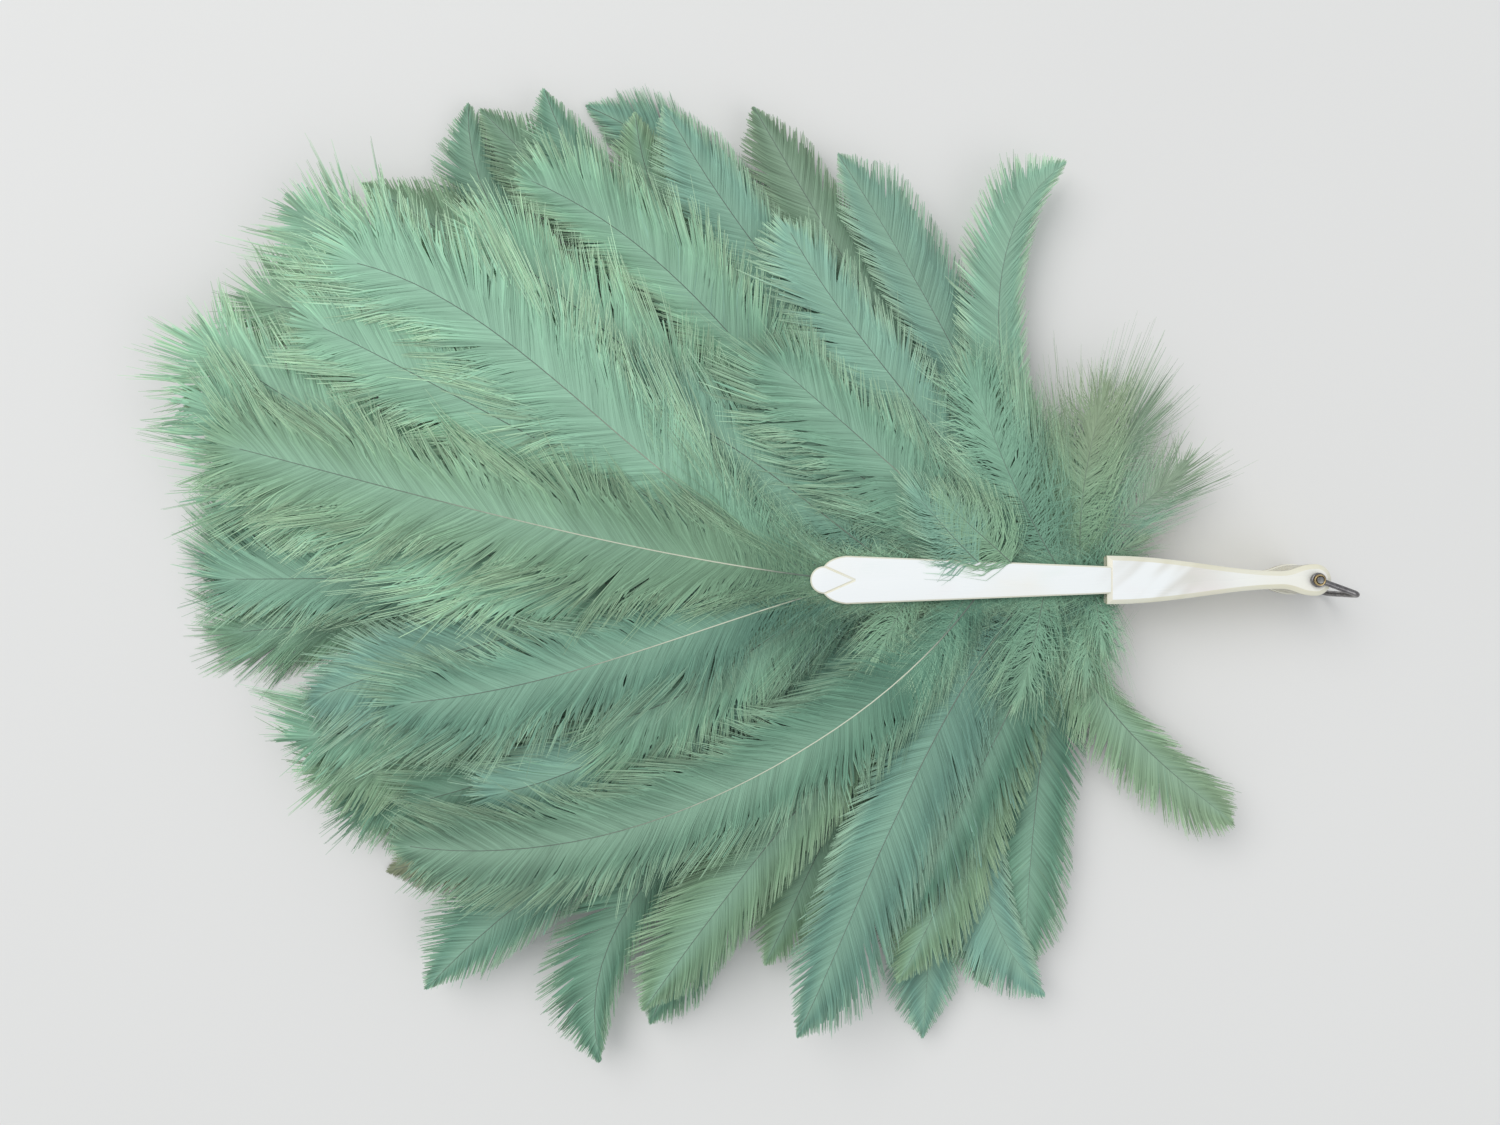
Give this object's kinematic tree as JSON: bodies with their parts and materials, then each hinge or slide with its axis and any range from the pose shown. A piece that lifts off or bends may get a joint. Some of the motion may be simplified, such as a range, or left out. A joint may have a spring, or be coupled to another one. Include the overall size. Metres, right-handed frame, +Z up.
{
  "type": "feather fan",
  "caption": "Folding fan with mother-of-pearl sticks on a rivet with a wire bail, carrying sea-green ostrich plumes; it opens by turning the sticks.",
  "frame": {"origin": "on the rivet's axis, at the flat lower end of the pin, which is the table's height", "axes": "+Z up along the rivet, from the back guard to the front guard; the closed fan's sticks point along -X, and the bail lies towards +X"},
  "size_m": [0.4088, 0.3404, 0.0361],
  "materials": {
    "guard_pearl": "gloss",
    "stick_pearl": "gloss",
    "plume_jade": "matte",
    "plume_teal": "matte",
    "rivet_steel": "satin",
    "bail_steel": "satin",
    "washer_brass": "satin"
  },
  "bodies": {
    "rivet": {"rivet_pin": "rivet_steel", "front_washer": "washer_brass", "back_washer": "washer_brass"},
    "bail": {"bail": "bail_steel"},
    "front_guard": {"front_guard": "guard_pearl", "plume_front_guard_left": "plume_jade", "plume_front_guard_centre": "plume_jade", "plume_front_guard_right": "plume_jade"},
    "stick_01": {"stick_01": "stick_pearl", "plume_stick_01_left": "plume_jade", "plume_stick_01_centre": "plume_jade", "plume_stick_01_right": "plume_jade"},
    "stick_02": {"stick_02": "stick_pearl", "plume_stick_02_left": "plume_jade", "plume_stick_02_centre": "plume_jade", "plume_stick_02_right": "plume_jade"},
    "stick_03": {"stick_03": "stick_pearl", "plume_stick_03_left": "plume_jade", "plume_stick_03_centre": "plume_jade", "plume_stick_03_right": "plume_jade"},
    "stick_04": {"stick_04": "stick_pearl", "plume_stick_04_left": "plume_jade", "plume_stick_04_centre": "plume_jade", "plume_stick_04_right": "plume_jade"},
    "stick_05": {"stick_05": "stick_pearl", "plume_stick_05_left": "plume_jade", "plume_stick_05_centre": "plume_jade", "plume_stick_05_right": "plume_jade"},
    "stick_06": {"stick_06": "stick_pearl", "plume_stick_06_left": "plume_jade", "plume_stick_06_centre": "plume_jade", "plume_stick_06_right": "plume_jade"},
    "stick_07": {"stick_07": "stick_pearl", "plume_stick_07_left": "plume_teal", "plume_stick_07_centre": "plume_teal", "plume_stick_07_right": "plume_teal"},
    "stick_08": {"stick_08": "stick_pearl", "plume_stick_08_left": "plume_teal", "plume_stick_08_centre": "plume_teal", "plume_stick_08_right": "plume_teal"},
    "stick_09": {"stick_09": "stick_pearl", "plume_stick_09_left": "plume_teal", "plume_stick_09_centre": "plume_teal", "plume_stick_09_right": "plume_teal"},
    "stick_10": {"stick_10": "stick_pearl", "plume_stick_10_left": "plume_teal", "plume_stick_10_centre": "plume_teal", "plume_stick_10_right": "plume_teal"},
    "stick_11": {"stick_11": "stick_pearl", "plume_stick_11_left": "plume_teal", "plume_stick_11_centre": "plume_teal", "plume_stick_11_right": "plume_teal"},
    "stick_12": {"stick_12": "stick_pearl", "plume_stick_12_left": "plume_teal", "plume_stick_12_centre": "plume_teal", "plume_stick_12_right": "plume_teal"},
    "back_guard": {"back_guard": "guard_pearl", "plume_back_guard_left": "plume_teal", "plume_back_guard_centre": "plume_teal", "plume_back_guard_right": "plume_teal"}
  },
  "joints": [
    {"name": "bail_swing", "type": "hinge", "parent": "rivet", "child": "bail", "pos_m": [0, 0, 0], "axis": [0, 0, 1], "range_deg": [-50, 90]},
    {"name": "fold", "type": "hinge", "parent": "rivet", "child": "front_guard", "pos_m": [0, 0, 0], "axis": [0, 0, -1], "range_deg": [0, 80]},
    {"name": "stick_01_turn", "type": "hinge", "parent": "rivet", "child": "stick_01", "pos_m": [0, 0, 0], "axis": [0, 0, -1], "range_deg": [0, 67.7]},
    {"name": "stick_02_turn", "type": "hinge", "parent": "rivet", "child": "stick_02", "pos_m": [0, 0, 0], "axis": [0, 0, -1], "range_deg": [0, 55.4]},
    {"name": "stick_03_turn", "type": "hinge", "parent": "rivet", "child": "stick_03", "pos_m": [0, 0, 0], "axis": [0, 0, -1], "range_deg": [0, 43.1]},
    {"name": "stick_04_turn", "type": "hinge", "parent": "rivet", "child": "stick_04", "pos_m": [0, 0, 0], "axis": [0, 0, -1], "range_deg": [0, 30.8]},
    {"name": "stick_05_turn", "type": "hinge", "parent": "rivet", "child": "stick_05", "pos_m": [0, 0, 0], "axis": [0, 0, -1], "range_deg": [0, 18.5]},
    {"name": "stick_06_turn", "type": "hinge", "parent": "rivet", "child": "stick_06", "pos_m": [0, 0, 0], "axis": [0, 0, -1], "range_deg": [0, 6.2]},
    {"name": "stick_07_turn", "type": "hinge", "parent": "rivet", "child": "stick_07", "pos_m": [0, 0, 0], "axis": [0, 0, -1], "range_deg": [-6.2, 0]},
    {"name": "stick_08_turn", "type": "hinge", "parent": "rivet", "child": "stick_08", "pos_m": [0, 0, 0], "axis": [0, 0, -1], "range_deg": [-18.5, 0]},
    {"name": "stick_09_turn", "type": "hinge", "parent": "rivet", "child": "stick_09", "pos_m": [0, 0, 0], "axis": [0, 0, -1], "range_deg": [-30.8, 0]},
    {"name": "stick_10_turn", "type": "hinge", "parent": "rivet", "child": "stick_10", "pos_m": [0, 0, 0], "axis": [0, 0, -1], "range_deg": [-43.1, 0]},
    {"name": "stick_11_turn", "type": "hinge", "parent": "rivet", "child": "stick_11", "pos_m": [0, 0, 0], "axis": [0, 0, -1], "range_deg": [-55.4, 0]},
    {"name": "stick_12_turn", "type": "hinge", "parent": "rivet", "child": "stick_12", "pos_m": [0, 0, 0], "axis": [0, 0, -1], "range_deg": [-67.7, 0]},
    {"name": "back_guard_turn", "type": "hinge", "parent": "rivet", "child": "back_guard", "pos_m": [0, 0, 0], "axis": [0, 0, -1], "range_deg": [-80, 0]}
  ],
  "couplings": [
    {"joint": "stick_01_turn", "follows": "fold", "ratio": 0.8462},
    {"joint": "stick_02_turn", "follows": "fold", "ratio": 0.6923},
    {"joint": "stick_03_turn", "follows": "fold", "ratio": 0.5385},
    {"joint": "stick_04_turn", "follows": "fold", "ratio": 0.3846},
    {"joint": "stick_05_turn", "follows": "fold", "ratio": 0.2308},
    {"joint": "stick_06_turn", "follows": "fold", "ratio": 0.0769},
    {"joint": "stick_07_turn", "follows": "fold", "ratio": -0.0769},
    {"joint": "stick_08_turn", "follows": "fold", "ratio": -0.2308},
    {"joint": "stick_09_turn", "follows": "fold", "ratio": -0.3846},
    {"joint": "stick_10_turn", "follows": "fold", "ratio": -0.5385},
    {"joint": "stick_11_turn", "follows": "fold", "ratio": -0.6923},
    {"joint": "stick_12_turn", "follows": "fold", "ratio": -0.8462},
    {"joint": "back_guard_turn", "follows": "fold", "ratio": -1}
  ]
}
